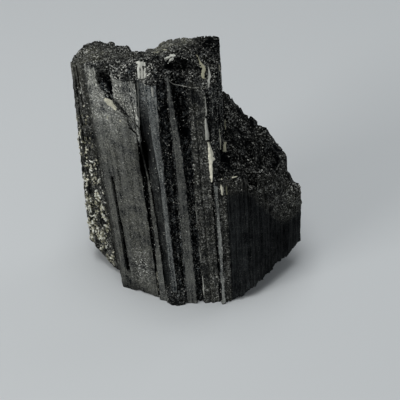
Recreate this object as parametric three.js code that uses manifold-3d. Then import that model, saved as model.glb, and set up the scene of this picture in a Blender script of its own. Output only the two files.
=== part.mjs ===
// A broken piece of black tourmaline: stout prisms grown side by side along one leaning axis and joined
// over their whole height. Every wall runs along that axis as a row of sharp ribs and grooves; the two
// tops and the underside are rough breaks. Millimetres, Z up, the broad ribbed side faces -Y.
import * as THREE from "three";
import { ImprovedNoise } from "three/addons/math/ImprovedNoise.js";
import { mergeVertices } from "three/addons/utils/BufferGeometryUtils.js";
import Module from "manifold-3d";

const wasm = await Module();
wasm.setup();

// The growth axis leans left and backwards, in mm per mm of height.
const LEAN_X = -0.066;
const LEAN_Y = 0.1;
// The left flank narrows upwards: full effect from TAPER_TO outwards, none inside TAPER_FROM.
const TAPER_FROM = -40;
const TAPER_TO = -53;
const TAPER_PER_MM = 0.068;
// The finished piece is centred over the middle of its own bounding box.
const CENTRE_X = 0.5;
const CENTRE_Y = 0;
const ROUGH_CELL = 2.9;

// Foot outline of the tall crystal, anticlockwise from its left corner.
const TALL = [
  [-53, -1], [-49.2, -4.4], [-48.2, -3.8], [-44.4, -7.2], [-43.6, -6.8], [-38.8, -11], [-37.9, -11.3],
  [-36.6, -15.4], [-35.5, -19.6], [-30.9, -21.3], [-26.5, -22.9], [-22, -24.7], [-17.6, -26.3],
  [-17, -24.4], [-16.4, -27.6], [-13.6, -28.6], [-13.1, -27], [-11.6, -27.4], [-10.8, -29.6],
  [-7.6, -29.9], [-6.9, -27.3], [-4.6, -28.4], [-3.9, -27], [-2.6, -30], [1.6, -30.3], [2.2, -27.9],
  [4.6, -28.2], [5.3, -30], [8, -29.6], [8.7, -28.2], [9.6, -29.7], [13, -29.3], [13.5, -28.2],
  [14.2, -30.4], [15.7, -30], [15.9, -22.4], [17.2, -21.8], [17.3, -14.2], [18.4, -13.6],
  [18.5, -5.6], [19.3, -5], [19.1, 15], [12, 15.8], [5, 15.2], [-2, 16.6], [-9, 15.9], [-14, 19],
  [-20, 19.7], [-28.5, 20.3], [-35.5, 17.9], [-41.5, 14.4], [-47.6, 10.6], [-52.4, 6.2],
];

// Foot outline of the low crystal on the right, overlapping the tall one.
const LOW = [
  [6, -22], [14.4, -29.2], [18.6, -29.4], [19.3, -28.2], [21.6, -28.5], [22.1, -27.5], [24.8, -27.6],
  [25.4, -26.7], [28, -26.9], [28.6, -25.9], [31, -26], [33.6, -24.9], [33.9, -23.9], [36.4, -22.6],
  [38, -20.4], [38.4, -19], [41, -17.2], [41.4, -16.2], [44.6, -14.2], [44.9, -13.2], [48, -11],
  [48.3, -10], [51.4, -7.6], [51.8, -6.4], [54.7, -3.8], [53.6, -2.2], [50.2, -1.9], [48.6, 2.2],
  [48.2, 8], [45, 13.6], [39.1, 14.6], [30.4, 17.5], [22, 18.3], [10, 14], [4, 0],
];

// Break heights: each entry is a place (x, y) and the height of the break there.
const TALL_TOP = [
  [-49, 1.4, 123.7], [-44, -6.8, 130.5], [-37.4, -9.2, 131], [-31.5, -9.5, 126], [-22.2, -13.5, 128],
  [-17.1, -15.7, 128.6], [-9.7, -16.3, 133.6], [-3, -15, 130.6], [5, -16, 126], [9, -6, 122.5],
  [10.3, 26.6, 119.2], [4.3, 27.2, 120], [-1, 27, 119.4], [-9.4, 27.7, 117.4], [-13.6, 28.6, 115.4],
  [-18, 30, 111.6], [-25.5, 32, 107.3], [-32.3, 31.4, 111.6], [-39.7, 30.6, 114], [-43.4, 29, 115.8],
  [-48, 24.4, 116], [-51.6, 16.6, 116], [-52.8, 8.5, 118], [-21, -5, 130.4], [-8, -2, 129],
  [-36, 2, 124], [-26, 15, 117], [-8, 14, 122], [4, 12, 121], [-42, 12, 121],
];
const LOW_TOP = [
  [9, -22, 78], [22, -20, 77.5], [31, -17, 76.6], [37, -13, 71.5], [42.4, -8.6, 64.5],
  [50.6, 1.2, 51.4], [47.8, -2.2, 51.6], [46.8, 1.6, 52.4], [44.2, 2.4, 57.4], [44.4, 8, 56.4],
  [44, 14, 61], [42.4, 18, 62.6], [40.6, 20.6, 62],
  [37, 22, 65.2], [34.4, 22, 71.6], [25.4, 25, 75.2], [20, 26, 81.4], [16.4, 27, 86.4],
  [13.3, 27, 88.8], [24, 2, 78], [32, 8, 75], [39, 5, 69], [15, 4, 81],
];
const UNDERSIDE = [
  [-52, -1, 13.5], [-46.5, -5, 8.4], [-41, -9.5, 3], [-36, -18, -2], [-48, 8, 12], [-40, 14, 8],
  [-29, 19, 5], [-25, -24.5, 1.4], [-30, -14, -4], [-14, -27, -3], [-20, 2, -7], [0, -28, -5],
  [0, 0, -8], [-4, 15, 3], [-14, 18, 5], [12, -28, -4], [12, -8, -5], [17.5, -28, 0.6],
  [23, -27, 3], [27, -26, 6.6], [31, -23, 10.2], [35, -19, 11.6], [40, -14, 13.8], [44.5, -9, 13.8],
  [50, -3, 15.4], [48, 8, 15], [38, 4, 12], [30, -8, 8], [26, 12, 9], [12, 13, 4],
];

// Stands a foot outline up along the leaning axis; low and high are one height or one per corner.
function prism(corners, low, high) {
  const rows = [low, high].map((row) => (Array.isArray(row) ? row : corners.map(() => row)));
  const n = corners.length;
  const position = [];
  rows.forEach((row) => {
    corners.forEach(([x, y], i) => {
      const z = row[i];
      const flank = THREE.MathUtils.clamp((x - TAPER_FROM) / (TAPER_TO - TAPER_FROM), 0, 1);
      position.push(x + (LEAN_X + flank * TAPER_PER_MM) * z, y + LEAN_Y * z, z);
    });
  });
  const index = [];
  for (let i = 0; i < n; i++) {
    const j = (i + 1) % n;
    index.push(i, j, n + j, i, n + j, n + i);
  }
  const outline = corners.map(([x, y]) => new THREE.Vector2(x, y));
  for (const [a, b, c] of THREE.ShapeUtils.triangulateShape(outline, [])) {
    index.push(a, c, b, n + a, n + b, n + c);
  }
  const geometry = new THREE.BufferGeometry();
  geometry.setAttribute("position", new THREE.Float32BufferAttribute(position, 3));
  geometry.setIndex(index);
  return geometry;
}

// A break through the listed heights: nearby heights pull hardest, and grain roughens it.
const noise = new ImprovedNoise();
function breakSurface(heights, grain, seed) {
  return (x, y) => {
    let sum = 0;
    let total = 0;
    for (const [hx, hy, hz] of heights) {
      const pull = 1 / ((x - hx) ** 2 + (y - hy) ** 2 + 5) ** 2;
      sum += pull * hz;
      total += pull;
    }
    const coarse = noise.noise(x / 6.3, y / 6.3, seed);
    const fine = noise.noise(x / 2.7, y / 2.7, seed + 7.4);
    return sum / total + grain * (coarse + 0.5 * fine);
  };
}

// A block between a break and a flat face beyond it.
function breakBlock([x0, x1], [y0, y1], surface, beyond) {
  const across = Math.round((x1 - x0) / ROUGH_CELL);
  const along = Math.round((y1 - y0) / ROUGH_CELL);
  const block = new THREE.BoxGeometry(x1 - x0, y1 - y0, 2, across, along, 1);
  block.translate((x0 + x1) / 2, (y0 + y1) / 2, 0);
  const broken = Math.sign(-beyond.z);
  const p = block.attributes.position;
  for (let i = 0; i < p.count; i++) {
    const onBreak = Math.sign(p.getZ(i)) === broken;
    p.setZ(i, onBreak ? surface(p.getX(i), p.getY(i)) : beyond.at);
  }
  return block;
}

function solid(geometry) {
  const bare = new THREE.BufferGeometry();
  bare.setAttribute("position", geometry.attributes.position);
  bare.setIndex(geometry.index);
  const merged = mergeVertices(bare, 1e-4);
  return new wasm.Manifold(new wasm.Mesh({
    numProp: 3,
    vertProperties: new Float32Array(merged.attributes.position.array),
    triVerts: new Uint32Array(merged.index.array),
  }));
}

function toGeometry(manifold) {
  const mesh = manifold.getMesh();
  const geometry = new THREE.BufferGeometry();
  geometry.setAttribute("position", new THREE.BufferAttribute(new Float32Array(mesh.vertProperties), 3));
  geometry.setIndex(new THREE.BufferAttribute(new Uint32Array(mesh.triVerts), 1));
  return geometry;
}

const above = { z: 1, at: 150 };
const below = { z: -1, at: -12 };

// The tall crystal, with its broken top.
const tallBreak = breakBlock([-62, 26], [-36, 42], breakSurface(TALL_TOP, 1.5, 1.3), above);
// A flake is missing from the top of its broad left face, deepest at the left where it leaves a hollow.
const flake = prism([[-29.8, -24], [-16, -28.4], [-27.6, -18.6]], [116.8, 103.4, 115.6], 145);
const hollow = prism([[-30.4, -24], [-26.2, -24.5], [-26.4, -15.4], [-29.6, -16]], 115.6, 145);
// A tapering groove splits the same face, widest near the foot.
const groove = prism([[-32.7, -23], [-30.6, -23.6], [-31.6, -18.9]], 13, [76, 76, 82]);
const tall = solid(prism(TALL, 0, 145))
  .subtract(solid(tallBreak))
  .subtract(solid(flake))
  .subtract(solid(hollow))
  .subtract(solid(groove));

// The low crystal, broken across at the shoulder, with a small square recess in its front edge.
const lowBreak = breakBlock([-2, 62], [-36, 34], breakSurface(LOW_TOP, 1.7, 4.6), above);
const recess = prism([[28.9, -28.5], [33.6, -28], [33.2, -22], [29.2, -22.6]], 69.6, 100);
const low = solid(prism(LOW, 0, 120)).subtract(solid(lowBreak)).subtract(solid(recess));

// A knuckle stands proud of the ribs at the foot of the front.
const knuckle = prism(
  [[-13.8, -27], [-13.2, -29.4], [-10.6, -31.2], [-7.4, -31.6], [-4.2, -30.8], [-2.8, -28]],
  0,
  [10.5, 8.2, 6.4, 5.6, 7, 9.6],
);

// The underside: flat where it stands, broken away to the left, the right and the back.
const footBreak = breakBlock([-62, 62], [-38, 34], breakSurface(UNDERSIDE, 1.2, 8.9), below);
const foot = new THREE.BoxGeometry(130, 90, 12);
foot.translate(0, 0, -6);
const crystal = tall
  .add(low)
  .add(solid(knuckle))
  .subtract(solid(footBreak))
  .subtract(solid(foot));

const geometry = toGeometry(crystal);
geometry.translate(-CENTRE_X, -CENTRE_Y, 0);
geometry.computeVertexNormals();
const black = new THREE.MeshStandardMaterial({ color: 0x1c1e20, roughness: 0.55 });
const mesh = new THREE.Mesh(geometry, black);
mesh.name = "tourmaline_crystal";

const part = new THREE.Group();
part.add(mesh);
export default part;
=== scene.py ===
# %% [markdown]
# # Black tourmaline crystal
# A hand specimen of black tourmaline, about 107 mm wide and 134 mm tall. Stout prisms grew side by side
# and fused, so every wall is a row of upright ribs and grooves, and the ends are rough breaks. Pale
# feldspar fills some grooves and an olive crust covers the left flank. A plain solid already gives the
# size and the place; this lesson builds the looks around it.

# %% Load the frame
import math
import bmesh
import bpy
import numpy as np
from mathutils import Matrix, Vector, noise
from mathutils.bvhtree import BVHTree


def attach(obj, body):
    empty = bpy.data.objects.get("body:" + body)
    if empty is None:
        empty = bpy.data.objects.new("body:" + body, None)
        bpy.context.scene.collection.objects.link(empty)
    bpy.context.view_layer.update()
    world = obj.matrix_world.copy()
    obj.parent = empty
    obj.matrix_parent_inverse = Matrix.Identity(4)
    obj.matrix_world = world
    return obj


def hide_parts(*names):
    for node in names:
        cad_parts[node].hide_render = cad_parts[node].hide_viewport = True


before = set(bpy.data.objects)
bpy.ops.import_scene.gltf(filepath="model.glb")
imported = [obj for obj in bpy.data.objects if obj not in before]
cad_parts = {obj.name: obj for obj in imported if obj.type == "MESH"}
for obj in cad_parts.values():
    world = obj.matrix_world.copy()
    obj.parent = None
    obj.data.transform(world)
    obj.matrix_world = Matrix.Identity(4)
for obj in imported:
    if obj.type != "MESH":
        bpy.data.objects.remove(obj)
bpy.context.view_layer.update()

# %% Fix the noise
# vector noise takes its offsets from the clock unless it is given a number
NOISE_SEED = 3
noise.seed_set(NOISE_SEED)
print("noise seed", NOISE_SEED)

# %% [markdown]
# ## Camera
# The piece is seen from in front and well above, from about 45 cm away with a long lens, so the uprights
# barely converge.

# %% Camera
MM = 0.001
CAMERA_PLACE = (2.5, -291, 354)
CAMERA_TILT = 43.1
LENS = 79.2
camera_data = bpy.data.cameras.new("camera")
camera_data.lens = LENS
camera_data.sensor_width = 36.0
camera_data.clip_start = 0.01
camera = bpy.data.objects.new("camera", camera_data)
camera.location = tuple(v * MM for v in CAMERA_PLACE)
camera.rotation_euler = (math.radians(CAMERA_TILT), 0, 0)
scene = bpy.context.scene
scene.collection.objects.link(camera)
scene.camera = camera
scene.view_settings.view_transform = "Standard"
print("camera at", tuple(round(v, 3) for v in camera.location))

# %% [markdown]
# ## Helpers
# Most nodes of a finish are a sum, a mix or a range. Each of these helpers makes one such node, sets or links
# its sockets and hands back its output, so a finish can be written much like a formula.

# %% Node helpers
def node(tree, kind, inputs, **settings):
    made = tree.nodes.new(kind)
    for name, value in settings.items():
        setattr(made, name, value)
    for socket, value in inputs.items():
        if isinstance(value, bpy.types.NodeSocket):
            tree.links.new(value, made.inputs[socket])
        else:
            made.inputs[socket].default_value = value
    return made


def calc(tree, operation, a, b=0.0, clamp=False):
    return node(tree, "ShaderNodeMath", {0: a, 1: b}, operation=operation, use_clamp=clamp).outputs[0]


def times(tree, a, b, clamp=False):
    return calc(tree, "MULTIPLY", a, b, clamp)


def blend(tree, share, a, b, kind="MIX"):
    made = node(tree, "ShaderNodeMix", {0: share, 6: a, 7: b}, data_type="RGBA", blend_type=kind)
    return made.outputs[2]


def ramp(tree, value, low, high):
    made = node(tree, "ShaderNodeMapRange", {"Value": value, "From Min": low, "From Max": high})
    return made.outputs["Result"]


def new_material(name):
    made = bpy.data.materials.new(name)
    made.use_nodes = True
    return made, made.node_tree, made.node_tree.nodes["Principled BSDF"]


def link_object(name, mesh):
    made = bpy.data.objects.new(name, mesh)
    scene.collection.objects.link(made)
    return made


# %% [markdown]
# ## Floor and light
# The piece stands on a plain pale table. Most of the light comes straight down from a wide soft ceiling,
# which leaves a grey shadow tight under the raised corners. Two soft boxes at the sides and a pale room
# brush the ribs.

# %% Floor
FLOOR_REACH = 3.0
FLOOR_COLOUR = (0.605, 0.622, 0.63, 1)
floor_mesh = bpy.data.meshes.new("floor")
floor_corners = [(-FLOOR_REACH, -FLOOR_REACH, 0), (FLOOR_REACH, -FLOOR_REACH, 0),
                 (FLOOR_REACH, FLOOR_REACH, 0), (-FLOOR_REACH, FLOOR_REACH, 0)]
floor_mesh.from_pydata(floor_corners, [], [(0, 1, 2, 3)])
floor = link_object("floor", floor_mesh)
floor_paint, _, floor_shader = new_material("pale_table")
floor_shader.inputs["Base Color"].default_value = FLOOR_COLOUR
floor_shader.inputs["Roughness"].default_value = 0.7
floor_mesh.materials.append(floor_paint)

# %% Lights
# name: place in metres, width, power, colour; every light looks at the middle of the crystal
LIGHTS = {
    "ceiling": ((-0.1, 0.02, 1.1), 0.5, 6.5, (0.97, 0.99, 1.0)),
    "left_box": ((-0.85, -0.52, 0.5), 0.4, 4.7, (1.0, 1.0, 0.98)),
    "right_box": ((0.8, 0.5, 0.35), 0.4, 1.4, (0.95, 0.98, 1.0)),
}
AIM = Vector((0, 0, 0.06))
ROOM_COLOUR, ROOM_STRENGTH = (0.9, 0.95, 1.0, 1), 0.15
for name, (place, width, power, colour) in LIGHTS.items():
    data = bpy.data.lights.new(name, "AREA")
    data.size = width
    data.energy = power
    data.color = colour
    light = bpy.data.objects.new(name, data)
    light.location = place
    light.rotation_euler = (AIM - Vector(place)).to_track_quat("-Z", "Y").to_euler()
    scene.collection.objects.link(light)
room = bpy.data.worlds.new("room")
room.use_nodes = True
room.node_tree.nodes["Background"].inputs["Color"].default_value = ROOM_COLOUR
room.node_tree.nodes["Background"].inputs["Strength"].default_value = ROOM_STRENGTH
scene.world = room
print(len(LIGHTS), "soft lights")

# %% [markdown]
# ## The plan of the crystal
# All ribs run along one growth axis that leans left and backwards, so the whole specimen is drawn once, as
# a plan of its foot, and every height repeats that plan a little further along the axis. A few ribs widen,
# narrow or die out on the way up. They are drawn at five heights and joined in between. The grooves of the
# back follow a rule instead. Each stretch of the plan also says which finish its wall has: that decides how
# deep the growth lines and the grain are cut, and later how the wall is coloured.

# %% The growth axis
# mm sideways for each mm of height
LEAN = np.array([-0.066, 0.1])
# the plan is drawn this far off the middle of the piece
CENTRE_X = 0.5
# the left flank narrows upwards, in full from FLANK_TO outwards and not at all inside FLANK_FROM
FLANK_FROM, FLANK_TO, FLANK_TAPER = -40.0, -53.0, 0.068
# the taper depends on the foot point itself, so that is found by closer and closer guesses
FOOT_GUESSES = 8


def lean_at(x):
    share = np.clip((x - FLANK_FROM) / (FLANK_TO - FLANK_FROM), 0, 1)
    return LEAN[0] + share * FLANK_TAPER


def stand(x, y, z):
    """Carries a foot point up the leaning axis; millimetres."""
    return np.stack([x + lean_at(x) * z - CENTRE_X, y + LEAN[1] * z, z + 0 * x], -1)


def foot_of(points):
    """The foot point that each place of the crystal grew from."""
    z = points[:, 2]
    x = points[:, 0] + CENTRE_X - LEAN[0] * z
    for _ in range(FOOT_GUESSES):
        x = points[:, 0] + CENTRE_X - lean_at(x) * z
    return np.stack([x, points[:, 1] - LEAN[1] * z], -1)


# %% The finishes
# growth lines (depth, width in mm), grain depth in mm, then satin, rough, tone and olive shares
FINISHES = {
    "crust": (0.35, 1.9, 0.50, 0.25, 0.75, 0.85, 0.35),
    "steep": (0.22, 1.1, 0.14, 0.45, 0.25, 0.6, 0.4),
    "satin": (0.05, 1.3, 0.10, 1.00, 0.10, 1.0, 0.35),
    "cleft": (0.15, 1.0, 0.40, 0.03, 0.60, 0.3, 0.0),
    "shale": (0.06, 0.8, 0.06, 1.00, 0.05, 1.15, 0.2),
    "ink": (0.42, 0.9, 0.12, 0.65, 0.15, 0.5, 0.05),
    "glass": (0.10, 0.9, 0.03, 0.95, 0.00, 1.6, 0.1),
    "grain": (0.20, 1.2, 0.50, 0.12, 0.90, 0.75, 0.0),
    "band": (0.07, 0.8, 0.08, 1.0, 0.08, 1.0, 0.22),
    "brown": (0.26, 1.0, 0.32, 0.35, 0.6, 1.05, 0.35),
    # the ridge's high tone is a painted highlight along its glossy edge
    "ridge": (0.04, 0.6, 0.03, 1.0, 0.00, 2.4, 0.2),
    "side": (0.25, 1.5, 0.35, 0.15, 0.85, 0.9, 0.1),
    "fine": (0.6, 0.9, 0.09, 0.55, 0.06, 0.36, 0.0),
    "back": (0.35, 1.3, 0.12, 0.75, 0.15, 0.7, 0.15),
    "break": (0.0, 1.0, 0.0, 0.12, 1.00, 0.9, 0.3),
    # the flake's high tone paints its inner face lighter, as lit from above and left
    "flake": (0.0, 1.0, 0.0, 1.2, 0.35, 2.4, 0.25),
    # the hollow's low tone is painted shade in the hollow
    "hollow": (0.0, 1.0, 0.0, 0.0, 0.4, 0.15, 0.0),
    "under": (0.0, 1.0, 0.0, 0.1, 0.5, 0.5, 0.1),
}
FINISH_NAMES = list(FINISHES)

# %% Plan of the tall crystal
PLAN_HEIGHTS = [12, 45, 75, 100, 128]


def straight(finish, *corners):
    """Corners that stay where they are at every height."""
    return [([corner] * len(PLAN_HEIGHTS), finish) for corner in corners]


# where a groove lies on a stretch, as a share of it, and how deep it is in mm
BACK_GROOVES = [(0.42, 0.6), (0.9, 1.2)]
LIP_BEFORE, LIP_AFTER = 0.08, 0.04


def grooved(finish, *corners):
    """Straight corners with two narrow grooves cut between each pair."""
    plan = []
    for start, end in zip(corners, corners[1:]):
        start, edge = np.array(start, float), np.array(end, float) - np.array(start, float)
        inward = np.array([-edge[1], edge[0]]) / np.linalg.norm(edge)
        places = [start]
        for share, depth in BACK_GROOVES:
            depth *= 1 + noise.noise(Vector((*start, 2.0)))
            places.append(start + (share - LIP_BEFORE) * edge)
            places.append(start + share * edge + depth * inward)
            places.append(start + (share + LIP_AFTER) * edge)
        plan += straight(finish, *(tuple(place) for place in places))
    return plan


# each corner names the finish of the wall after it; one that moves has a place for each of PLAN_HEIGHTS
TALL = [
    *straight("crust", (-53, -1), (-49.2, -4.4), (-48.2, -3.8), (-44.4, -7.2), (-43.6, -6.8)),
    *straight("steep", (-38.8, -11), (-37.9, -11.3), (-36.6, -15.4)),
    *straight("satin", (-35.5, -19.6), (-30.9, -21.3), (-26.5, -22.9), (-22, -24.7)),
    *straight("cleft", (-17.6, -26.3)),
    ([(-17, -24.8), (-17, -24.6), (-17, -23.8), (-17.3, -24.2), (-17.2, -25)], "cleft"),
    ([(-16.6, -27.7), (-15.7, -27.3), (-15.4, -25), (-16.9, -26.6), (-16.8, -27.8)], "shale"),
    ([(-13.5, -28.6), (-13.6, -27.9), (-14.6, -25.2), (-16.1, -26.6), (-15.3, -28)], "cleft"),
    ([(-13.2, -27), (-13.3, -26.7), (-14.1, -25), (-15.2, -24.6), (-14.6, -25)], "ink"),
    ([(-11.2, -27.4), (-11.2, -27.3), (-10.6, -27.2), (-11.6, -26.2), (-12.4, -25.6)], "ink"),
    ([(-10.2, -29.5), (-10, -29.5), (-9.4, -29.3), (-10.5, -29.4), (-11, -29.2)], "glass"),
    ([(-7.6, -29.9), (-7.5, -29.8), (-7.4, -29.8), (-7.1, -29.8), (-6.4, -29.6)], "grain"),
    ([(-6.9, -27.3), (-6.8, -27.2), (-6.7, -27), (-6.5, -26.8), (-5.8, -26.6)], "grain"),
    ([(-5.2, -28.6), (-4.8, -28.4), (-4.4, -28.2), (-4.3, -27.8), (-4.1, -27.6)], "grain"),
    ([(-4.2, -27), (-3.6, -26.8), (-2.7, -26.8), (-2.8, -26.4), (-2.9, -26.6)], "grain"),
    ([(-3.2, -30), (-2.6, -30), (-1.8, -29.9), (-1.9, -29.7), (-2, -29.4)], "band"),
    ([(1.6, -30.3), (1.6, -30.3), (1.7, -30.2), (1.2, -30), (-0.7, -29.6)], "grain"),
    ([(2.2, -27.8), (2.2, -27.6), (2.3, -27.2), (1.8, -26.4), (0, -26)], "grain"),
    ([(3.2, -28.6), (3.2, -28.4), (3.3, -28.2), (3.2, -27.2), (2.6, -26.6)], "grain"),
    ([(4.6, -27.8), (4.6, -27.6), (4.7, -27.2), (5, -26.8), (5.4, -26.6)], "grain"),
    ([(5.3, -30), (5.3, -30), (5.4, -29.2), (6, -28.8), (6.4, -28.8)], "brown"),
    *straight("brown", (8, -29.5), (8.7, -28.8), (9.6, -29.6), (11.4, -29.2)),
    *straight("cleft", (13, -29.2), (13.5, -28.5)),
    ([(14.1, -30.6), (14.1, -30.6), (14.1, -30.1), (14.4, -28.5), (14.4, -28.4)], "ridge"),
    ([(15.8, -30.3), (15.8, -30.3), (15.6, -29.7), (15.7, -28.1), (15.7, -28)], "side"),
    *straight("side", (15.9, -22.4), (17.2, -21.8), (17.3, -14.2), (18.4, -13.6), (18.5, -5.6), (19.3, -5)),
    *grooved("back", (19.1, 15), (12, 15.8), (5, 15.2), (-2, 16.6), (-9, 15.9), (-14, 19), (-20, 19.7),
             (-28.5, 20.3), (-35.5, 17.9), (-41.5, 14.4), (-47.6, 10.6), (-52.4, 6.2)),
    *straight("crust", (-52.4, 6.2)),
]

# %% Plan of the low crystal
LOW = [
    *straight("side", (6, -22)),
    *straight("brown", (14.4, -29.2), (16.6, -29.4), (17.1, -28.8), (18.6, -29.1)),
    *straight("fine", (19.3, -28.4), (22, -28.2), (22.3, -27.8), (25, -27.3), (25.3, -26.9), (28.4, -26.6),
              (28.8, -26.2), (31.3, -25.8), (34, -24.3), (38, -20.6), (38.3, -20), (41.2, -17.3), (44.8, -14),
              (45, -13.5), (48.2, -10.6), (51.5, -7.4), (51.7, -6.9), (54.7, -3.8)),
    *straight("back", (53.6, -2.2), (50.2, -1.9)),
    *grooved("back", (48.6, 2.2), (48.2, 8), (45, 13.6), (39.1, 14.6), (30.4, 17.5), (22, 18.3), (10, 14)),
    *straight("back", (10, 14), (4, 0)),
]
print(len(TALL), "corners on the tall plan,", len(LOW), "on the low one")

# %% [markdown]
# ## Walls
# A wall is a fine net: columns across the ribs, rows up the axis. Columns are close on the sides that
# matter most and wider at the back, and rows are wider still, because a rib hardly changes along its
# length. Each net point is pushed in or out by growth lines, which are noise stretched along the axis,
# and by grain, which is noise of almost equal size in all directions. The whole net also sways a little,
# so that no rib is ruler-straight.

# %% Walls from a plan
# widest column for a finish, and the height of a row, in mm
COLUMN = {"back": 1.15, "side": 0.7}
FRONT_COLUMN = 0.45
ROW = 1.25
# how far the net sways, over which width and height, in mm, and where in the noise that is read
SWAYS = [(0.3, 4.5, 13, 5.2), (0.22, 1.8, 4, 8.1)]
WALL_FOOT, TALL_WALL_TOP, LOW_WALL_TOP = -3, 140, 96


def plan_at(plan, heights):
    """Corner places at each height: heights x corners x 2."""
    table = np.array([corner[0] for corner in plan], float)
    out = np.empty((len(heights), len(plan), 2))
    for i, corner in enumerate(table):
        for axis in (0, 1):
            out[:, i, axis] = np.interp(heights, PLAN_HEIGHTS, corner[:, axis])
    return out


def weathering(x, z):
    """How rough the fine face of the low crystal has become; it starts lower down further right."""
    return np.clip((z - 67 + 2.0 * np.maximum(0, x - 29)) / 9, 0, 1) * np.clip((z - 34) / 8, 0, 1)


def relief(name, foot, along, z):
    depth, width, grain = FINISHES[name][:3]
    if name == "fine":
        grain += 0.45 * weathering(foot[0], z)
    # long lines, then a second set more than twice as close and a little shorter
    lines = noise.noise(Vector((along / width, 3.7, z / 34)))
    fine = noise.noise(Vector((along / width * 2.3, 9.1, z / 21)))
    place = Vector((foot[0] / 1.5, foot[1] / 1.5, z / 2.2))
    rough = noise.noise(place) + 0.6 * noise.noise(place * 2.1)
    return depth * (lines + 0.5 * fine) + grain * rough


def wall_net(plan, low, high):
    """A closed prism on the plan with ribs, growth lines and grain, in millimetres."""
    heights = np.linspace(low, high, round((high - low) / ROW) + 1)
    corners = plan_at(plan, heights)
    after = np.roll(corners, -1, axis=1)
    spans = np.linalg.norm(after - corners, axis=2).max(0)
    columns = []
    for i, (_, finish) in enumerate(plan):
        count = max(1, math.ceil(spans[i] / COLUMN.get(finish, FRONT_COLUMN)))
        for k in range(count):
            columns.append((corners[:, i] + (after[:, i] - corners[:, i]) * k / count, finish))
    loop = np.stack([c[0] for c in columns], 1)
    along = np.cumsum(np.linalg.norm(np.roll(loop, -1, axis=1) - loop, axis=2).mean(0))
    heading = np.roll(loop, -1, axis=1) - np.roll(loop, 1, axis=1)
    outward = np.stack([heading[..., 1], -heading[..., 0]], -1)
    outward /= np.linalg.norm(outward, axis=2, keepdims=True) + 1e-9
    for c, (_, finish) in enumerate(columns):
        for r, z in enumerate(heights):
            sway = Vector()
            for reach, width, rise, slice_at in SWAYS:
                sway += reach * noise.noise_vector(Vector((along[c] / width, z / rise, slice_at)))
            loop[r, c] += outward[r, c] * relief(finish, loop[r, c], along[c], z) + np.array(sway[:2])
    points = stand(loop[..., 0], loop[..., 1], heights[:, None]).reshape(-1, 3)
    n, rows = len(columns), len(heights)
    faces = []
    for r in range(rows - 1):
        for c in range(n):
            d = (c + 1) % n
            faces.append((r * n + c, r * n + d, (r + 1) * n + d, (r + 1) * n + c))
    faces.append(tuple(range(n - 1, -1, -1)))
    faces.append(tuple(range((rows - 1) * n, rows * n)))
    return points, faces


def closed_object(name, points, faces):
    mesh = bpy.data.meshes.new(name)
    mesh.from_pydata([tuple(p) for p in np.asarray(points) * MM], [], faces)
    mesh.validate()
    mesh.update()
    return link_object(name, mesh)


tall = closed_object("tall", *wall_net(TALL, WALL_FOOT, TALL_WALL_TOP))
low = closed_object("low", *wall_net(LOW, WALL_FOOT, LOW_WALL_TOP))
print("tall wall", len(tall.data.polygons), "faces, low wall", len(low.data.polygons))

# %% [markdown]
# ## Breaks
# Both crystals end in a rough break and the underside is one too. Each break is a height net: a few
# heights at known places, joined so that near ones pull hardest, then roughened with broad swells, grain
# and small crystal-like cells. The net closes a block, and the block is cut away from the wall.

# %% Heights of the breaks
TALL_TOP = [
    (-49, 1.4, 123.7), (-44, -6.8, 130.5), (-37.4, -9.2, 131), (-31.5, -9.5, 126), (-22.2, -13.5, 128),
    (-17.1, -15.7, 128.6), (-9.7, -16.3, 132.6), (-3, -15, 130.6), (5, -16, 126), (9, -6, 122.5),
    (10.3, 26.6, 119.2), (4.3, 27.2, 120), (-1, 27, 119.4), (-9.4, 27.7, 118.4), (-13.6, 28.6, 116.6),
    (-18, 30, 112), (-25.5, 32, 107.3), (-32.3, 31.4, 111.6), (-39.7, 30.6, 114), (-43.4, 29, 115.8),
    (-48, 24.4, 116), (-51.6, 16.6, 116), (-52.8, 8.5, 118), (-21, -5, 130.4), (-8, -2, 129),
    (-36, 2, 124), (-26, 15, 117), (-8, 14, 122), (4, 12, 121), (-42, 12, 121),
]
LOW_TOP = [
    (9, -22, 78), (22, -20, 77.5), (31, -17, 76.6), (37, -13, 71.5), (42.4, -8.6, 64.5),
    (50.6, 1.2, 51.4), (47.8, -2.2, 51.6), (46.8, 1.6, 52.4), (44.2, 2.4, 57.4), (44.4, 8, 56.4),
    (44, 14, 61), (42.4, 18, 62.6), (40.6, 20.6, 62), (37, 22, 65.2), (34.4, 22, 71.6),
    (25.4, 25, 75.2), (20, 26, 81.4), (16.4, 27, 86.4), (13.3, 27, 88.8), (24, 2, 78),
    (32, 8, 75), (39, 5, 69), (15, 4, 81),
]
UNDERSIDE = [
    (-52, -1, 13.5), (-46.5, -5, 8.4), (-41, -9.5, 3), (-36, -18, -2), (-48, 8, 12), (-40, 14, 8),
    (-29, 19, 5), (-25, -24.5, 1.4), (-30, -14, -4), (-14, -27, -3), (-20, 2, -7), (0, -28, -5),
    (0, 0, -8), (-4, 15, 3), (-14, 18, 5), (12, -28, -4), (12, -8, -5), (17.5, -28, 0.6),
    (23, -27, 3), (27, -26, 6.6), (31, -23, 10.2), (35, -19, 11.6), (40, -14, 13.8), (44.5, -9, 13.8),
    (50, -3, 15.4), (48, 8, 15), (38, 4, 12), (30, -8, 8), (26, 12, 9), (12, 13, 4),
]


# keeps the pull of a known height finite close to it, in square mm
SOFTENING = 5


def break_height(heights, x, y, rough, seed):
    table = np.array(heights, float)
    pull = 1 / ((x - table[:, 0]) ** 2 + (y - table[:, 1]) ** 2 + SOFTENING) ** 2
    swell = noise.noise(Vector((x / 6.3, y / 6.3, seed)))
    lump = noise.noise(Vector((x / 2.6, y / 2.6, seed + 7)))
    grit = noise.noise(Vector((x / 1.2, y / 1.2, seed + 3)))
    cell = noise.voronoi(Vector((x / 1.9, y / 1.9, seed)))[0][0]
    return pull @ table[:, 2] / pull.sum() + rough * (1.1 * swell + 0.8 * lump + 0.55 * grit - 0.8 * cell)


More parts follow.
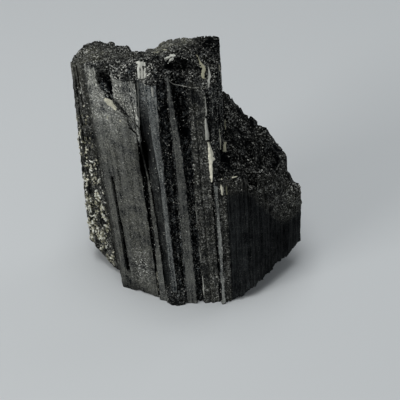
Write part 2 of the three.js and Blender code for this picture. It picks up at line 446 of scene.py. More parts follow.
def break_block(name, xs, ys, step, heights, rough, seed, beyond, least=-1e9):
    """A block from a rough break to a flat face at the height beyond; least keeps the break above it."""
    across = np.linspace(*xs, round((xs[1] - xs[0]) / step) + 1)
    deep = np.linspace(*ys, round((ys[1] - ys[0]) / step) + 1)
    nx, ny = len(across), len(deep)
    points = [(x, y, max(least, break_height(heights, x, y, rough, seed))) for y in deep for x in across]
    faces = [(j * nx + i, j * nx + i + 1, (j + 1) * nx + i + 1, (j + 1) * nx + i)
             for j in range(ny - 1) for i in range(nx - 1)]
    rim = [i for i in range(nx)] + [j * nx + nx - 1 for j in range(1, ny)]
    rim += [(ny - 1) * nx + i for i in range(nx - 2, -1, -1)] + [j * nx for j in range(ny - 2, 0, -1)]
    base = len(points)
    points += [(points[k][0], points[k][1], beyond) for k in rim]
    count = len(rim)
    faces += [(rim[k], base + k, base + (k + 1) % count, rim[(k + 1) % count]) for k in range(count)]
    faces.append(tuple(range(base + count - 1, base - 1, -1)))
    if beyond > points[0][2]:
        faces = [tuple(reversed(face)) for face in faces]
    return closed_object(name, points, faces)


FINE_STEP, FOOT_STEP = 0.62, 1.5
ABOVE, BELOW = 160, -12
tall_break = break_block("tall_break", (-61, 25), (-34, 42), FINE_STEP, TALL_TOP, 0.85, 1.3, ABOVE)
low_break = break_block("low_break", (2, 61), (-32, 34), FINE_STEP, LOW_TOP, 0.9, 4.6, ABOVE)
foot_break = break_block("foot_break", (-61, 61), (-36, 34), FOOT_STEP, UNDERSIDE, 1.0, 8.9, BELOW, 0.0)
print("breaks", [len(o.data.polygons) for o in (tall_break, low_break, foot_break)])

# %% [markdown]
# ## Chips and grooves
# A three-cornered flake has come off the top of the broad face and left a rough inner face, a ledge with
# a black crevice behind it, and a hollow at its left. A tapering groove splits the same face lower down,
# and the front edge of the low crystal has a small square notch. Each is a rough-sided cutter: closely
# spaced rings between a foot outline and its copy higher up, closed by fans and shaken by noise. The
# knuckle that stands proud at the foot of the front is made the same way, and joined instead of cut.

# %% Cutters
def rough_shape(name, corners, low, high, grain, step=0.6, size=2.0):
    """A prism on foot corners, from low to high (one height, or one for each corner), with rough sides."""
    count = len(corners)
    heights = [h if isinstance(h, (list, tuple)) else [h] * count for h in (low, high)]
    loop = []
    for i in range(count):
        start = np.array([*corners[i], heights[0][i], heights[1][i]], float)
        j = (i + 1) % count
        end = np.array([*corners[j], heights[0][j], heights[1][j]], float)
        pieces = max(1, math.ceil(np.linalg.norm(end[:2] - start[:2]) / step))
        loop += [start + (end - start) * k / pieces for k in range(pieces)]
    loop = np.array(loop)
    centre = loop.mean(0)
    caps = max(2, math.ceil(np.linalg.norm(loop[:, :2] - centre[:2], axis=1).max() / step))
    rows = math.ceil((loop[:, 3] - loop[:, 2]).max() / (2 * step))
    shares = [(k / caps, 0.0) for k in range(1, caps + 1)]
    shares += [(1.0, k / rows) for k in range(1, rows + 1)]
    shares += [(k / caps, 1.0) for k in range(caps - 1, 0, -1)]
    rings = []
    for spread, rise in shares:
        ring = centre + (loop - centre) * spread
        rings.append(stand(ring[:, 0], ring[:, 1], ring[:, 2] + (ring[:, 3] - ring[:, 2]) * rise))
    ends = [stand(centre[0], centre[1], centre[k]) for k in (2, 3)]
    points = [Vector(p) for p in np.concatenate([*rings, ends])]
    points = [p + grain * (noise.noise_vector(p / size) + 0.5 * noise.noise_vector(p / size * 2.7))
              for p in points]
    n = len(loop)
    faces = [(r * n + i, r * n + (i + 1) % n, (r + 1) * n + (i + 1) % n, (r + 1) * n + i)
             for r in range(len(rings) - 1) for i in range(n)]
    bottom, top = len(rings) * n, len(rings) * n + 1
    last = (len(rings) - 1) * n
    faces += [(bottom, (i + 1) % n, i) for i in range(n)]
    faces += [(top, last + i, last + (i + 1) % n) for i in range(n)]
    return closed_object(name, points, faces)


# foot corners, then the low and high ends (one height, or one for each corner) and the grain, in mm
CUTS = {
    "flake": ([(-29.8, -24), (-13.8, -29), (-13.8, -27.8), (-27.6, -18.6)],
              [117.4, 102.4, 102, 116], 137, 0.3),
    "crevice": ([(-28.5, -19.6), (-16.6, -28.2), (-15.6, -27), (-27.6, -18.6)],
                [112, 99.5, 99, 111.5], 120, 0.12),
    "hollow": ([(-31.6, -24), (-25.6, -25), (-25.4, -15.4), (-30.6, -15)],
               [122, 112.5, 112.5, 122], 137, 0.7),
    "groove": ([(-33, -23), (-30.1, -24), (-31.6, -18.4)], 13, [70, 70, 76], 0.15),
    "groove_foot": ([(-33.5, -23.4), (-29.5, -24.4), (-31.4, -17.6)], 12.5, [44, 40, 52], 0.2),
}
NOTCH = ([(28.9, -28.5), (33.6, -28), (33.2, -22), (29.2, -22.6)], 69.6, 88, 0.2)
KNUCKLE = ([(-13.8, -27), (-13.2, -29.4), (-10.6, -31.2), (-7.4, -31.6), (-4.2, -30.8), (-2.8, -28)],
           -1, [10.5, 8.2, 6.4, 5.6, 7, 9.6], 0.35)
cutters = [rough_shape(name, *plan) for name, plan in CUTS.items()]
notch = rough_shape("notch", *NOTCH)
knuckle = rough_shape("knuckle", *KNUCKLE)
print("cutters", [len(o.data.polygons) for o in (*cutters, notch, knuckle)])


# %% Cut and join
def combine(target, other, operation):
    made = target.modifiers.new(other.name, "BOOLEAN")
    made.solver = "MANIFOLD"
    made.operation = operation
    made.object = other


def plain_mesh(source):
    ready = source.evaluated_get(bpy.context.evaluated_depsgraph_get())
    return bpy.data.meshes.new_from_object(ready)


combine(low, low_break, "DIFFERENCE")
combine(low, notch, "DIFFERENCE")
combine(tall, tall_break, "DIFFERENCE")
for cutter in cutters:
    combine(tall, cutter, "DIFFERENCE")
combine(tall, low, "UNION")
combine(tall, knuckle, "UNION")
combine(tall, foot_break, "DIFFERENCE")
crystal = link_object("crystal", plain_mesh(tall))
for used in (tall, low, notch, knuckle, tall_break, low_break, foot_break, *cutters):
    bpy.data.objects.remove(used)
shape = bmesh.new()
shape.from_mesh(crystal.data)
bmesh.ops.triangulate(shape, faces=shape.faces)
# where the rough surface touches itself along a line, four faces share an edge
touching = sum(len(edge.link_faces) == 4 for edge in shape.edges)
open_edges = sum(len(edge.link_faces) < 2 for edge in shape.edges)
print("crystal", len(shape.faces), "triangles,", open_edges, "open edges,", touching, "touching edges,",
      round(shape.calc_volume() * 1e6, 1), "cubic cm")
shape.to_mesh(crystal.data)
shape.free()

# %% [markdown]
# ## Where each finish lies
# The finish follows the plan: a place on a wall takes the finish of the nearest stretch of the plan at its
# height, and every place that is deep inside the plan, or faces up or down, is broken rock. The shares are
# kept as named values on the mesh, so the material can mix its finishes smoothly. A few soft patches then
# lighten or darken single places, such as the satin face near its top.

# %% Finish of each place
def gap_to(foot, start, edge):
    """Distance in the plan from foot points to stretches that start somewhere and run along an edge."""
    share = ((foot - start) * edge).sum(-1) / ((edge ** 2).sum(-1) + 1e-9)
    return np.linalg.norm(foot - start - edge * np.clip(share, 0, 1)[:, None], axis=1)


def nearest_finish(foot, z):
    """Distance to the nearest stretch of either plan, and the number of its finish."""
    best = np.full(len(foot), 1e9)
    kind = np.zeros(len(foot), int)
    for plan in (TALL, LOW):
        corners = plan_at(plan, z)
        after = np.roll(corners, -1, axis=1)
        for i, (_, finish) in enumerate(plan):
            gap = gap_to(foot, corners[:, i], after[:, i] - corners[:, i])
            closer = gap < best
            best[closer] = gap[closer]
            kind[closer] = FINISH_NAMES.index(finish)
    return best, kind


def has(finish):
    """The places that have a finish so far."""
    return kind == FINISH_NAMES.index(finish)


def vertex_values(name):
    """The crystal's vertices: their places in metres ("co") or their directions ("normal")."""
    flat = np.empty(len(crystal.data.vertices) * 3, np.float32)
    crystal.data.vertices.foreach_get(name, flat)
    return flat.reshape(-1, 3)


places = vertex_values("co").astype(float) / MM
facing = vertex_values("normal")
foot = foot_of(places)
height = places[:, 2]
gap, kind = nearest_finish(foot, height)
axis = np.array([LEAN[0], LEAN[1], 1.0]) / math.sqrt(1 + LEAN @ LEAN)
upward = facing @ axis
# deeper inside the plan than a wall's relief reaches, or facing along the axis, or on the foot
WALL_DEPTH, STEEPEST_BREAK, FOOT_HEIGHT = 1.3, 0.6, 0.2
broken = (gap > WALL_DEPTH) | (np.abs(upward) > STEEPEST_BREAK) | (height < FOOT_HEIGHT)
kind[broken] = FINISH_NAMES.index("break")


def near_line(start, end):
    """Distance in the plan from every place to a stretch between two foot points."""
    return gap_to(foot, np.array(start), np.array(end) - np.array(start))


# the inner face that the flake left, painted lighter as if lit from above and left, and the hollow at its
# left, painted dark as shade
scar = (near_line((-27.4, -18.8), (-14.2, -27.6)) < 0.9) & (height > 97) & (np.abs(upward) < 0.5)
kind[scar] = FINISH_NAMES.index("flake")
painted_shade_hollow = (near_line((-28.4, -16.6), (-28.2, -21.5)) < 2.4) & (height > 108) & (height < 121) & (gap > 0.7)
kind[painted_shade_hollow] = FINISH_NAMES.index("hollow")
# the ridge, painted bright as a highlight, fades into its rough side above the shoulder, and the underside is
# duller than the top
SHOULDER_HEIGHT, UNDERSIDE_HEIGHT = 76, 14
kind[has("ridge") & (height > SHOULDER_HEIGHT)] = FINISH_NAMES.index("side")
kind[has("break") & (height < UNDERSIDE_HEIGHT)] = FINISH_NAMES.index("under")
shares = np.array([FINISHES[name][3:] for name in FINISH_NAMES])[kind]
WEATHERED = np.array((0.1, 0.9, 0.5, 0.8))
shares = shares + (weathering(foot[:, 0], height) * has("fine"))[:, None] * WEATHERED
print("broken places", int(broken.sum()), "of", len(places))

# %% Soft patches
# middle of the patch, its reach across and up in mm, then what is added to satin, rough, tone and olive
PATCHES = [
    ((-41.5, -8, 126), 6, 10, (0.1, 0.2, 1.3, 0.0)),
    ((-37, -10, 112), 8, 14, (0.05, 0.35, 1.5, 0.0)),
    ((-42, 16, 118), 13, 9, (0.45, -0.4, 0.0, 0.5)),
    ((-51, 5, 120), 6, 8, (0.5, -0.4, -0.3, 0.5)),
    ((-28, -4, 127), 9, 8, (0.0, 0.1, 0.5, 0.0)),
    # painted highlight: lightens the tops of the ribs beside the flake
    ((-19.5, -14, 124), 4.5, 9, (0.5, 0.3, 1.1, 0.0)),
    # painted shadow: darkens the rock at the left of the bright facet
    ((-25.6, -7, 129), 2.0, 5, (-1.0, -0.5, -1.2, -0.5)),
    ((-14, 24, 117), 9, 8, (0.6, -0.5, 0.2, 0.7)),
    ((-3, 26, 119), 7, 6, (0.5, -0.4, 0.2, 0.6)),
    ((-5.5, -15.5, 114), 4.2, 14, (-0.3, 0.1, -0.5, -0.2)),
    ((-6, -3, 127), 8, 8, (-0.3, 0.1, -0.8, -0.2)),
    ((-12, -9, 129), 5, 7, (-0.3, 0.1, -0.5, -0.2)),
    ((6, 20, 120), 10, 9, (-0.3, 0.0, -0.65, -0.3)),
    ((5, 2, 122), 9, 12, (-0.2, 0.0, -0.3, 0.0)),
    ((27, 4, 77), 22, 18, (-0.2, 0.0, -0.68, -0.2)),
    ((-25.6, -21.7, 19), 5, 8, (-0.2, 0.9, 0.5, 0.0)),
    ((-22.2, -17, 91), 2.6, 12, (-0.8, 0.0, -1.0, 0.0)),
    ((-30, -20, 0), 9, 6, (-0.4, 0.1, -0.5, 0.0)),
    ((-26, -22, 45), 10, 26, (-0.15, 0.15, -0.1, 0.2)),
    ((42, -12, 25), 14, 20, (-0.1, 0.0, -0.15, 0.0)),
]


def patch_share(middle, across, up):
    flat = np.linalg.norm(places[:, :2] - np.array(middle[:2]), axis=1) / across
    tall_part = (places[:, 2] - middle[2]) / up
    return np.exp(-(flat ** 2 + tall_part ** 2))


for middle, across, up, change in PATCHES:
    shares = shares + patch_share(middle, across, up)[:, None] * np.array(change)
MOST = 2.4
shares = np.clip(shares, 0, MOST)


# %% Where crust and glints grow
def spread_at(z):
    """How much of the left flank the crust covers at a height."""
    heights = [0, 12, 30, 48, 60, 72, 88, 95, 112]
    return np.interp(z, heights, [0.5, 0.9, 1.0, 0.95, 0.55, 0.5, 0.45, 0.1, 0.0])


# broad and small patches, both longer upwards than across
patchy = np.array([noise.noise(Vector(p / (5.0, 5.0, 8.0))) for p in places])
fine_patchy = np.array([noise.noise(Vector(p / (1.5, 1.5, 4.5)) + Vector((9, 4, 2))) for p in places])
on_flank = np.clip((-38.6 - foot[:, 0]) / 2.0, 0, 1) * (foot[:, 1] < 3)
crust = on_flank * spread_at(height) * np.clip(0.05 + 2.0 * patchy + 4.2 * fine_patchy, 0, 1)
# painted glints sit on rough places in patches, more where the tone is light
glint = np.clip(shares[:, 1] - 0.45, 0, 1) * np.clip(0.25 + 3.0 * patchy, 0.04, 1) * (height > 3)
glint *= 0.25 + np.clip(shares[:, 2], 0, 1)
# a seam of pale specks runs up one front groove, and a few more grains lie on the ribs and the satin face
seam = np.clip(1.2 - near_line((6.2, -28.8), (6.9, -28.9)), 0, 1) * (height > 4) * (height < 72)
glint += 1.6 * seam * np.clip(0.2 + 2.5 * fine_patchy, 0, 1)
ribs = has("cleft") | has("shale") | has("band") | has("steep") | has("ink")
glint += 0.3 * ribs * np.clip(0.1 + 3.0 * fine_patchy, 0, 1)
glint += 0.25 * has("satin") * np.clip(3.0 * fine_patchy - 0.6, 0, 1)
print("crust on", int((crust > 0.3).sum()), "places, glints on", int((glint > 0.2).sum()))
values = {"satin": shares[:, 0], "rough": shares[:, 1], "tone": shares[:, 2], "olive": shares[:, 3],
          "crust": crust, "glint": glint}
for name, value in values.items():
    stored = crystal.data.attributes.new(name, "FLOAT", "POINT")
    stored.data.foreach_set("value", value.astype(np.float32))
SHARPEST_SMOOTH = 28
crystal.data.shade_smooth()
crystal.data.set_sharp_from_angle(angle=math.radians(SHARPEST_SMOOTH))

# %% [markdown]
# ## The black stone
# Tourmaline is glassy where its growth faces are fresh, satin grey where they are etched, and glitters with
# small bright cells where it is broken; that glitter and the shade in its pits are painted into the colour.
# Two effects are shared with the pale minerals, so they are built once as node groups: growth lines, which
# are noise stretched along the growth axis, and grain.

# %% Growth lines group
def new_group(name, sockets, kind="ShaderNodeTree"):
    made = bpy.data.node_groups.new(name, kind)
    for label, way, holds, value in sockets:
        socket = made.interface.new_socket(label, in_out=way, socket_type="NodeSocket" + holds)
        if value is not None:
            socket.default_value = value
    return made, made.nodes.new("NodeGroupInput"), made.nodes.new("NodeGroupOutput")


def axis_place(tree, stretch):
    """Object coordinates in millimetres, slid back along the growth axis and squeezed in height."""
    place = node(tree, "ShaderNodeTexCoord", {}).outputs["Object"]
    parts = node(tree, "ShaderNodeSeparateXYZ", {0: place})
    x = calc(tree, "SUBTRACT", parts.outputs[0], times(tree, parts.outputs[2], float(LEAN[0])))
    y = calc(tree, "SUBTRACT", parts.outputs[1], times(tree, parts.outputs[2], float(LEAN[1])))
    z = times(tree, parts.outputs[2], stretch)
    joined = node(tree, "ShaderNodeCombineXYZ", {0: x, 1: y, 2: z})
    return node(tree, "ShaderNodeVectorMath", {0: joined.outputs[0], 3: 1000.0}, operation="SCALE").outputs[0]


LINE_SOCKETS = [
    ("Width", "INPUT", "Float", 0.8), ("Stretch", "INPUT", "Float", 0.03),
    ("Height", "OUTPUT", "Float", None), ("Streaks", "OUTPUT", "Float", None),
]
lines_group, given, result = new_group("growth_lines", LINE_SOCKETS)
place = axis_place(lines_group, given.outputs["Stretch"])
closeness = calc(lines_group, "DIVIDE", 1.0, given.outputs["Width"])
noise_settings = {"Vector": place, "Scale": closeness, "Detail": 4.0, "Roughness": 0.62}
streaks = node(lines_group, "ShaderNodeTexNoise", noise_settings).outputs[0]
lines_group.links.new(streaks, result.inputs["Height"])
lines_group.links.new(ramp(lines_group, streaks, 0.35, 0.68), result.inputs["Streaks"])
print("growth_lines", len(lines_group.nodes), "nodes")

# %% Grain group
GRAIN_SOCKETS = [
    ("Size", "INPUT", "Float", 1.0), ("Speck share", "INPUT", "Float", 0.3),
    ("Height", "OUTPUT", "Float", None), ("Specks", "OUTPUT", "Float", None),
    ("Mottle", "OUTPUT", "Float", None), ("Facets", "OUTPUT", "Float", None),
]
grain_group, given, result = new_group("grain", GRAIN_SOCKETS)
place = axis_place(grain_group, 1.0)
closeness = calc(grain_group, "DIVIDE", 1.0, given.outputs["Size"])
cells = node(grain_group, "ShaderNodeTexVoronoi", {"Vector": place, "Scale": closeness})
grit = node(grain_group, "ShaderNodeTexNoise",
            {"Vector": place, "Scale": times(grain_group, closeness, 1.7), "Detail": 3.0})
pits = calc(grain_group, "ADD", cells.outputs["Distance"], grit.outputs[0])
grain_group.links.new(pits, result.inputs["Height"])
dots = node(grain_group, "ShaderNodeTexNoise",
            {"Vector": place, "Scale": times(grain_group, closeness, 1.35), "Detail": 2.0})
edge = calc(grain_group, "SUBTRACT", 0.82, times(grain_group, given.outputs["Speck share"], 0.3))
speck = times(grain_group, calc(grain_group, "SUBTRACT", dots.outputs[0], edge), 12.0, clamp=True)
grain_group.links.new(speck, result.inputs["Specks"])
blotch = node(grain_group, "ShaderNodeTexNoise",
              {"Vector": place, "Scale": times(grain_group, closeness, 0.16), "Detail": 3.0})
grain_group.links.new(ramp(grain_group, blotch.outputs[0], 0.32, 0.68), result.inputs["Mottle"])
chance = node(grain_group, "ShaderNodeSeparateColor", {0: cells.outputs["Color"]}).outputs[0]
grain_group.links.new(calc(grain_group, "POWER", chance, 6.0), result.inputs["Facets"])
print("grain", len(grain_group.nodes), "nodes")


# %% Black tourmaline
def value_of(tree, name):
    return node(tree, "ShaderNodeAttribute", {}, attribute_name=name).outputs["Fac"]


def placed(tree, group, values):
    made = tree.nodes.new("ShaderNodeGroup")
    made.node_tree = group
    for name, value in values.items():
        made.inputs[name].default_value = value
    return made


def fused(tree, a, b, c):
    """a times b plus c."""
    return node(tree, "ShaderNodeMath", {0: a, 1: b, 2: c}, operation="MULTIPLY_ADD").outputs[0]


def tinted(tree, colour, tone):
    tones = node(tree, "ShaderNodeCombineColor", {0: tone, 1: tone, 2: tone}).outputs[0]
    return blend(tree, 1.0, colour, tones, "MULTIPLY")


FRESH = (0.0028, 0.004, 0.006, 1)
ETCHED_COOL, ETCHED_WARM = (0.113, 0.125, 0.129, 1), (0.124, 0.126, 0.115, 1)
# painted sparkle: pale greys for the broken rock's bright cells, which stand for glints
PAINTED_SPARKLE_COOL, PAINTED_SPARKLE_WARM = (0.31, 0.344, 0.355, 1), (0.34, 0.342, 0.325, 1)
SCUFFED, OLIVE_FILM = (0.28, 0.28, 0.26, 1), (0.13, 0.127, 0.088, 1)
# the white speck is a painted glint and the pit colour is painted shade; the crust stain is the crust's own
# colour
PAINTED_GLINT_SPECK, PAINTED_PIT_SHADE, CRUST_STAIN = (0.7, 0.7, 0.64, 1), (0.0015, 0.0018, 0.002, 1), (0.3, 0.29, 0.2, 1)
stone, tree, shader = new_material("black_tourmaline")
satin, rough, tone, olive = (value_of(tree, n) for n in ("satin", "rough", "tone", "olive"))
lines = placed(tree, lines_group, {"Width": 1.5, "Stretch": 0.05})
haze = placed(tree, grain_group, {"Size": 0.9, "Speck share": 0.2})
grain = placed(tree, grain_group, {"Size": 1.0, "Speck share": 0.85})
scuff = placed(tree, grain_group, {"Size": 0.75, "Speck share": 0.7})
fibres = placed(tree, lines_group, {"Width": 0.5, "Stretch": 0.14})

# etched faces: satin grey in streaks over fresh black, cooler where there is no olive film
speckled = ramp(tree, scuff.outputs["Height"], 0.72, 1.2)
streaked = fused(tree, lines.outputs["Streaks"], 0.7, -0.38)
streaked = fused(tree, fibres.outputs["Streaks"], 0.35, streaked)
streaked = fused(tree, haze.outputs["Mottle"], 0.3, streaked)
streaked = fused(tree, speckled, 0.45, streaked)
grey_share = times(tree, satin, streaked, clamp=True)
warmth = times(tree, olive, 4.0, clamp=True)
etched = blend(tree, warmth, ETCHED_COOL, ETCHED_WARM)
colour = blend(tree, grey_share, FRESH, etched)
scuff_share = times(tree, scuff.outputs["Specks"], satin, clamp=True)
colour = blend(tree, scuff_share, colour, SCUFFED)

# broken rock: clusters of bright cells and white specks, painted sparkle standing for glints, and black pits,
# painted shade, with an olive film between them
clustered = fused(tree, haze.outputs["Mottle"], 1.7, -0.1)
crowded = times(tree, rough, clustered)
facets_and_painted_sparkle = times(tree, grain.outputs["Facets"], crowded, clamp=True)
painted_sparkle = blend(tree, warmth, PAINTED_SPARKLE_COOL, PAINTED_SPARKLE_WARM)
colour = blend(tree, facets_and_painted_sparkle, colour, painted_sparkle)
filmed = times(tree, haze.outputs["Mottle"], speckled)
olive_share = times(tree, olive, filmed, clamp=True)
colour = blend(tree, olive_share, colour, OLIVE_FILM)
# painted glints: white specks on the broken rock stand for small glinting facets
painted_glint_share = times(tree, grain.outputs["Specks"], crowded, clamp=True)
colour = blend(tree, painted_glint_share, colour, PAINTED_GLINT_SPECK)
# painted shade: the low cells of the grain are darkened almost to black
painted_pit_shade = times(tree, ramp(tree, grain.outputs["Height"], 1.15, 0.85), rough, clamp=True)
colour = blend(tree, times(tree, painted_pit_shade, 0.92), colour, PAINTED_PIT_SHADE)
colour = tinted(tree, colour, tone)
raised = ramp(tree, grain.outputs["Height"], 0.95, 1.2)
crust_share = times(tree, value_of(tree, "crust"), raised, clamp=True)
colour = blend(tree, times(tree, crust_share, 0.12), colour, CRUST_STAIN)
tree.links.new(colour, shader.inputs["Base Color"])

# gloss comes as a coat where the stone is etched or a cell is bright, over an almost matt body
tree.links.new(fused(tree, satin, -0.1, 0.6), shader.inputs["Roughness"])
shader.inputs["Specular IOR Level"].default_value = 0.008
polish = times(tree, grey_share, times(tree, tone, 0.6), clamp=True)
polish = calc(tree, "ADD", polish, times(tree, facets_and_painted_sparkle, tone), clamp=True)
tree.links.new(polish, shader.inputs["Coat Weight"])
shader.inputs["Coat Roughness"].default_value = 0.25

# fine relief: growth lines first, then grain where the stone is rough
fine = node(tree, "ShaderNodeBump",
            {"Strength": 0.7, "Distance": 0.4 * MM, "Height": lines.outputs["Height"]})
coarse = node(tree, "ShaderNodeBump",
              {"Strength": 1.0, "Distance": 0.9 * MM, "Normal": fine.outputs[0],
               "Height": times(tree, grain.outputs["Height"], rough)})
tree.links.new(coarse.outputs[0], shader.inputs["Normal"])
tree.links.new(coarse.outputs[0], shader.inputs["Coat Normal"])
crystal.data.materials.clear()
crystal.data.materials.append(stone)

# %% [markdown]
# ## Crust and glints
# The olive and cream crust on the left flank is made of hundreds of small angular lumps, with fewer and
# larger white ones among them. Small bright grey grains on the broken rock are painted glints, besides a seam
# of pale specks up one front groove. All repeat one small shape over a surface, which is what Geometry Nodes
# are good at: points are strewn where a named value says, and each gets a grain of its own size, turn and
# shade. The result is made a plain mesh.

# %% Pale mineral
OLIVE, TAN, CREAM = (0.04, 0.04, 0.028, 1), (0.3, 0.29, 0.19, 1), (0.95, 0.92, 0.76, 1)
pale, tree, shader = new_material("pale_mineral")
shade = value_of(tree, "shade")
grain = placed(tree, grain_group, {"Size": 0.5, "Speck share": 0.4})
lines = placed(tree, lines_group, {"Width": 0.35, "Stretch": 0.1})
colour = blend(tree, ramp(tree, shade, 0.0, 0.5), OLIVE, TAN)
colour = blend(tree, ramp(tree, shade, 0.5, 1.0), colour, CREAM)
# a shade above 1 is a neutral grey: 1.4 is grey 0.4
neutral = calc(tree, "SUBTRACT", shade, 1.0, clamp=True)
warm = times(tree, neutral, 0.9)
neutral = node(tree, "ShaderNodeCombineColor", {0: neutral, 1: neutral, 2: warm}).outputs[0]
colour = blend(tree, calc(tree, "GREATER_THAN", shade, 1.01), colour, neutral)
worn = fused(tree, lines.outputs["Streaks"], 0.25, 0.7)
colour = tinted(tree, colour, fused(tree, grain.outputs["Mottle"], 0.2, worn))
tree.links.new(colour, shader.inputs["Base Color"])
shader.inputs["Roughness"].default_value = 0.55
chipped = node(tree, "ShaderNodeBump",
               {"Strength": 0.7, "Distance": 0.25 * MM, "Height": grain.outputs["Height"]})
tree.links.new(chipped.outputs[0], shader.inputs["Normal"])

# %% Grain scattering tree
FULL_TURN = (6.28, 6.28, 6.28)
SCATTER_SOCKETS = [
    ("Geometry", "INPUT", "Geometry", None), ("Where", "INPUT", "String", ""),
    ("Grains per square metre", "INPUT", "Float", 1e6),
    ("Smallest", "INPUT", "Vector", (1e-4, 1e-4, 1e-4)),
    ("Largest", "INPUT", "Vector", (1e-3, 1e-3, 1e-3)),
    ("Darkest", "INPUT", "Float", 0.0), ("Palest", "INPUT", "Float", 1.0),
    ("Seed", "INPUT", "Int", 1), ("Finish", "INPUT", "Material", None),
    ("Geometry", "OUTPUT", "Geometry", None),
]
scatter, given, result = new_group("strewn_grains", SCATTER_SOCKETS, "GeometryNodeTree")
given = given.outputs
share = node(scatter, "GeometryNodeInputNamedAttribute", {"Name": given["Where"]}, data_type="FLOAT")
crowd = times(scatter, share.outputs[0], given["Grains per square metre"])
points = node(scatter, "GeometryNodeDistributePointsOnFaces",
              {"Mesh": given["Geometry"], "Density": crowd, "Seed": given["Seed"]})
one = node(scatter, "GeometryNodeMeshIcoSphere", {"Radius": 1.0, "Subdivisions": 1})
sizes = node(scatter, "FunctionNodeRandomValue",
             {0: given["Smallest"], 1: given["Largest"], "Seed": given["Seed"]}, data_type="FLOAT_VECTOR")
turns = node(scatter, "FunctionNodeRandomValue",
             {0: (0.0, 0.0, 0.0), 1: FULL_TURN, "Seed": given["Seed"]}, data_type="FLOAT_VECTOR")
grains = node(scatter, "GeometryNodeInstanceOnPoints",
              {"Points": points.outputs["Points"], "Instance": one.outputs["Mesh"],
               "Rotation": turns.outputs[0], "Scale": sizes.outputs[0]})
shades = node(scatter, "FunctionNodeRandomValue",
              {2: given["Darkest"], 3: given["Palest"], "Seed": given["Seed"]}, data_type="FLOAT")
shaded = node(scatter, "GeometryNodeStoreNamedAttribute",
              {"Geometry": grains.outputs[0], "Name": "shade", "Value": shades.outputs[1]},
              data_type="FLOAT", domain="INSTANCE")
real = node(scatter, "GeometryNodeRealizeInstances", {0: shaded.outputs[0]})
coloured = node(scatter, "GeometryNodeSetMaterial",
                {"Geometry": real.outputs[0], "Material": given["Finish"]})
scatter.links.new(coloured.outputs[0], result.inputs["Geometry"])


# %% Strew the grains
def strew(name, values):
    """A plain mesh of grains strewn over the crystal."""
    holder = link_object(name + "_holder", crystal.data.copy())
    made = holder.modifiers.new("strewn", "NODES")
    made.node_group = scatter
    sockets = {item.name: item.identifier for item in scatter.interface.items_tree if item.in_out == "INPUT"}
    for label, value in values.items():
        made[sockets[label]] = value
    grains = link_object(name, plain_mesh(holder))
    bpy.data.objects.remove(holder)
    print(name, len(grains.data.polygons), "faces")
    return grains


flank_crust = strew("flank_crust", {
    "Where": "crust", "Grains per square metre": 1.1e6, "Smallest": (1.6e-4, 1.6e-4, 1.6e-4),
    "Largest": (1.2e-3, 9e-4, 5e-4), "Darkest": 0.15, "Palest": 1.0, "Seed": 4, "Finish": pale})
white_lumps = strew("white_lumps", {
    "Where": "crust", "Grains per square metre": 2.8e5, "Smallest": (4e-4, 3e-4, 3e-4),
    "Largest": (1.7e-3, 9e-4, 6e-4), "Darkest": 1.7, "Palest": 2.0, "Seed": 7, "Finish": pale})
# painted glints: bright grey grains on the broken rock stand for glints, along with a seam of pale specks
painted_glints_and_pale_specks = strew("painted_glints_and_pale_specks", {
    "Where": "glint", "Grains per square metre": 6e5, "Smallest": (1.2e-4, 1.2e-4, 1e-4),
    "Largest": (4.4e-4, 3.4e-4, 2.6e-4), "Darkest": 1.05, "Palest": 1.7, "Seed": 11, "Finish": pale})
